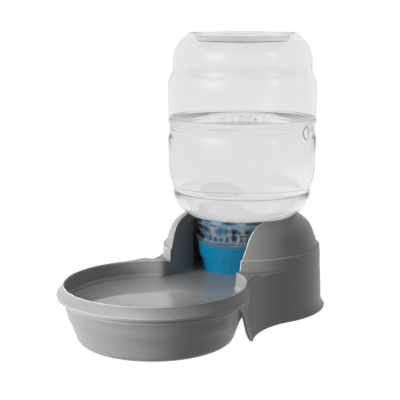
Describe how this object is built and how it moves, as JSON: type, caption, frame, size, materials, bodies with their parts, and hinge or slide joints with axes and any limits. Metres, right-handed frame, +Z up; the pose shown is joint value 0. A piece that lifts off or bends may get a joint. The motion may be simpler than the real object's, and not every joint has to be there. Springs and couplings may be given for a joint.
{
  "type": "pet waterer",
  "caption": "Gravity waterer for pets: open round bowl moulded in one with a winged housing, and an upturned clear bottle that feeds it through a filter cap.",
  "frame": {"origin": "on the floor, in the middle of the footprint", "axes": "+Z up, the bowl towards -Y and the bottle towards +Y, X = 0 the middle of the base from side to side"},
  "size_m": [0.199, 0.3608, 0.306],
  "materials": {
    "base_plastic": "satin moulded polypropylene",
    "pad_rubber": "soft matt",
    "clear_plastic": "clear blown polyester",
    "cap_plastic": "moulded polypropylene",
    "seal_rubber": "soft",
    "cage_plastic": "moulded polypropylene",
    "filter_felt": "felt round carbon"
  },
  "bodies": {
    "stand": {"base": "base_plastic", "foot_pad_1": "pad_rubber", "foot_pad_2": "pad_rubber", "foot_pad_3": "pad_rubber", "foot_pad_4": "pad_rubber", "bottle": "clear_plastic"},
    "cap": {"filter_cap": "cap_plastic", "cap_gasket": "seal_rubber", "filter_cage": "cage_plastic", "charcoal_filter": "filter_felt"}
  },
  "joints": [
    {"name": "cap_twist", "type": "hinge", "parent": "stand", "child": "cap", "pos_m": [0, 0.0854, 0.0745], "axis": [0, 0, -1], "range_deg": [0, 104]}
  ]
}
